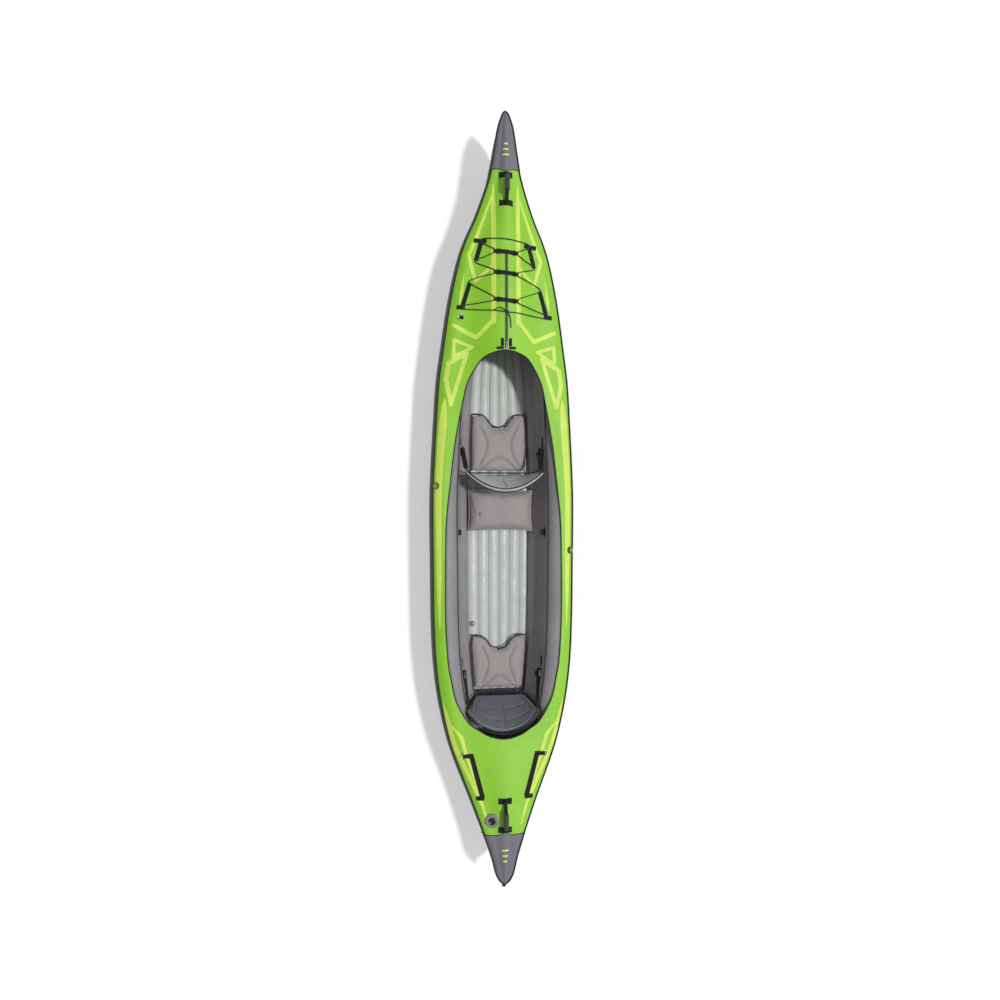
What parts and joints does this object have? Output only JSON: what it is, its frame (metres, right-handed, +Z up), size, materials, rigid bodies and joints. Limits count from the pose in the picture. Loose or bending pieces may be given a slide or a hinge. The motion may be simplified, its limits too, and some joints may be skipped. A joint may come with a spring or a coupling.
{
  "type": "inflatable kayak",
  "caption": "Long decked inflatable kayak with an open cockpit, paired side air tubes, ribbed air floor, folding seats, a footrest cushion, deck lacing, carry handles and air valves.",
  "frame": {"origin": "middle of the footprint on the ground under the flat bottom", "axes": "+Y towards the bow, +X to starboard, +Z up"},
  "size_m": [0.8738, 4.57, 0.473],
  "materials": {
    "deck_green": "coated polyester, satin",
    "hull_dark": "PVC tarpaulin",
    "nose_grey": "coated polyester",
    "piping_black": "matte",
    "liner_grey": "coated polyester",
    "air_bladder": "smooth PVC film",
    "floor_silver": "smooth PVC",
    "frame_alloy": "anodised",
    "keel_rubber": "moulded",
    "seat_fabric": "woven polyester",
    "back_fabric": "woven polyester",
    "webbing_black": "woven webbing",
    "cord_black": "braided",
    "buckle_black": "moulded",
    "grip_rubber": "moulded, ribbed",
    "valve_grey": "moulded",
    "valve_black": "moulded",
    "cap_green": "moulded",
    "ring_steel": "polished wire",
    "zip_metal": "satin"
  },
  "bodies": {
    "hull": {"bottom_panel": "hull_dark", "side_panel_port": "hull_dark", "side_panel_starboard": "hull_dark", "front_deck": "deck_green", "rear_deck": "deck_green", "side_deck_port": "deck_green", "side_deck_starboard": "deck_green", "bow_nose_cover": "nose_grey", "stern_nose_cover": "nose_grey", "cockpit_piping": "piping_black", "gunwale_piping": "piping_black", "liner_port": "liner_grey", "liner_starboard": "liner_grey", "upper_tube_port": "air_bladder", "upper_tube_starboard": "air_bladder", "lower_tube_port": "air_bladder", "lower_tube_starboard": "air_bladder", "air_floor": "floor_silver", "floor_valve_body": "valve_grey", "front_deck_lift": "air_bladder", "rear_deck_lift": "air_bladder", "bow_frame": "frame_alloy", "stern_frame": "frame_alloy", "bow_keel_plate": "keel_rubber", "stern_keel_plate": "keel_rubber", "tracking_fin": "keel_rubber", "front_seat_base": "seat_fabric", "rear_seat_base": "seat_fabric", "front_strap_port": "webbing_black", "front_strap_starboard": "webbing_black", "rear_strap_port": "webbing_black", "rear_strap_starboard": "webbing_black", "strap_anchors": "webbing_black", "strap_buckles": "buckle_black", "spare_buckles": "buckle_black", "bow_handle_mounts": "webbing_black", "stern_handle_mounts": "webbing_black", "deck_lacing": "cord_black", "lacing_tails": "cord_black", "lacing_webbing": "webbing_black", "stern_webbing": "webbing_black", "ring_tabs": "webbing_black", "zip_tape": "zip_metal", "stern_valve_body": "valve_grey", "side_valve_bodies": "valve_black"},
    "front_backrest": {"front_seat_back": "back_fabric"},
    "rear_backrest": {"rear_seat_back": "back_fabric"},
    "footrest": {"footrest_cushion": "seat_fabric", "footrest_valve": "valve_grey"},
    "bow_grip": {"bow_handle_grip": "grip_rubber"},
    "stern_grip": {"stern_handle_grip": "grip_rubber"},
    "zip_runner": {"zip_slider": "zip_metal"},
    "zip_puller": {"zip_pull": "zip_metal"},
    "bow_d_ring": {"bow_ring": "ring_steel"},
    "stern_d_ring_port": {"stern_ring_port": "ring_steel"},
    "stern_d_ring_starboard": {"stern_ring_starboard": "ring_steel"},
    "stern_cap": {"stern_valve_cap": "valve_black"},
    "floor_cap": {"floor_valve_cap": "valve_black"},
    "side_cap_port": {"side_valve_cap_port": "cap_green"},
    "side_cap_starboard": {"side_valve_cap_starboard": "cap_green"}
  },
  "joints": [
    {"name": "front_back_fold", "type": "hinge", "parent": "hull", "child": "front_backrest", "pos_m": [0, 0.165, 0.134], "axis": [-1, 0, 0], "range_deg": [0, 68], "deforming": ["front_strap_port", "front_strap_starboard"]},
    {"name": "rear_back_fold", "type": "hinge", "parent": "hull", "child": "rear_backrest", "pos_m": [0, -1.175, 0.134], "axis": [-1, 0, 0], "range_deg": [0, 90], "deforming": ["rear_strap_port", "rear_strap_starboard"]},
    {"name": "footrest_slide", "type": "slide", "parent": "hull", "child": "footrest", "axis": [0, 1, 0], "range_m": [-0.4, 0.02]},
    {"name": "bow_handle_swing", "type": "hinge", "parent": "hull", "child": "bow_grip", "pos_m": [0, 1.842, 0.44], "axis": [0, 1, 0], "range_deg": [-70, 70]},
    {"name": "stern_handle_swing", "type": "hinge", "parent": "hull", "child": "stern_grip", "pos_m": [0, -1.87, 0.4], "axis": [0, 1, 0], "range_deg": [-70, 70]},
    {"name": "zip_slide", "type": "slide", "parent": "hull", "child": "zip_runner", "axis": [0, 1, 0], "range_m": [0, 0.15]},
    {"name": "zip_pull_swing", "type": "hinge", "parent": "zip_runner", "child": "zip_puller", "pos_m": [0, 0.915, 0.439], "axis": [-1, 0, 0], "range_deg": [0, 160]},
    {"name": "bow_ring_swing", "type": "hinge", "parent": "hull", "child": "bow_d_ring", "pos_m": [-0.262, 1.072, 0.36296], "axis": [0, 1, 0], "range_deg": [0, 135]},
    {"name": "stern_ring_port_swing", "type": "hinge", "parent": "hull", "child": "stern_d_ring_port", "pos_m": [-0.24, -1.498, 0.35508], "axis": [0, 1, 0], "range_deg": [0, 150]},
    {"name": "stern_ring_starboard_swing", "type": "hinge", "parent": "hull", "child": "stern_d_ring_starboard", "pos_m": [0.24, -1.498, 0.35508], "axis": [0, -1, 0], "range_deg": [0, 150]},
    {"name": "stern_cap_turn", "type": "hinge", "parent": "hull", "child": "stern_cap", "pos_m": [-0.076, -1.878, 0.3725], "axis": [-0.1736, 0, 0.9848], "range_deg": [0, 90]},
    {"name": "floor_cap_turn", "type": "hinge", "parent": "hull", "child": "floor_cap", "pos_m": [-0.16, -0.76, 0.0885], "axis": [0, 0, 1], "range_deg": [0, 90]},
    {"name": "side_cap_port_turn", "type": "hinge", "parent": "hull", "child": "side_cap_port", "pos_m": [-0.40201, 0.088, 0.32021], "axis": [-0.6157, 0, 0.788], "range_deg": [0, 90]},
    {"name": "side_cap_starboard_turn", "type": "hinge", "parent": "hull", "child": "side_cap_starboard", "pos_m": [0.4022, -0.296, 0.31997], "axis": [0.6157, 0, 0.788], "range_deg": [0, 90]}
  ]
}
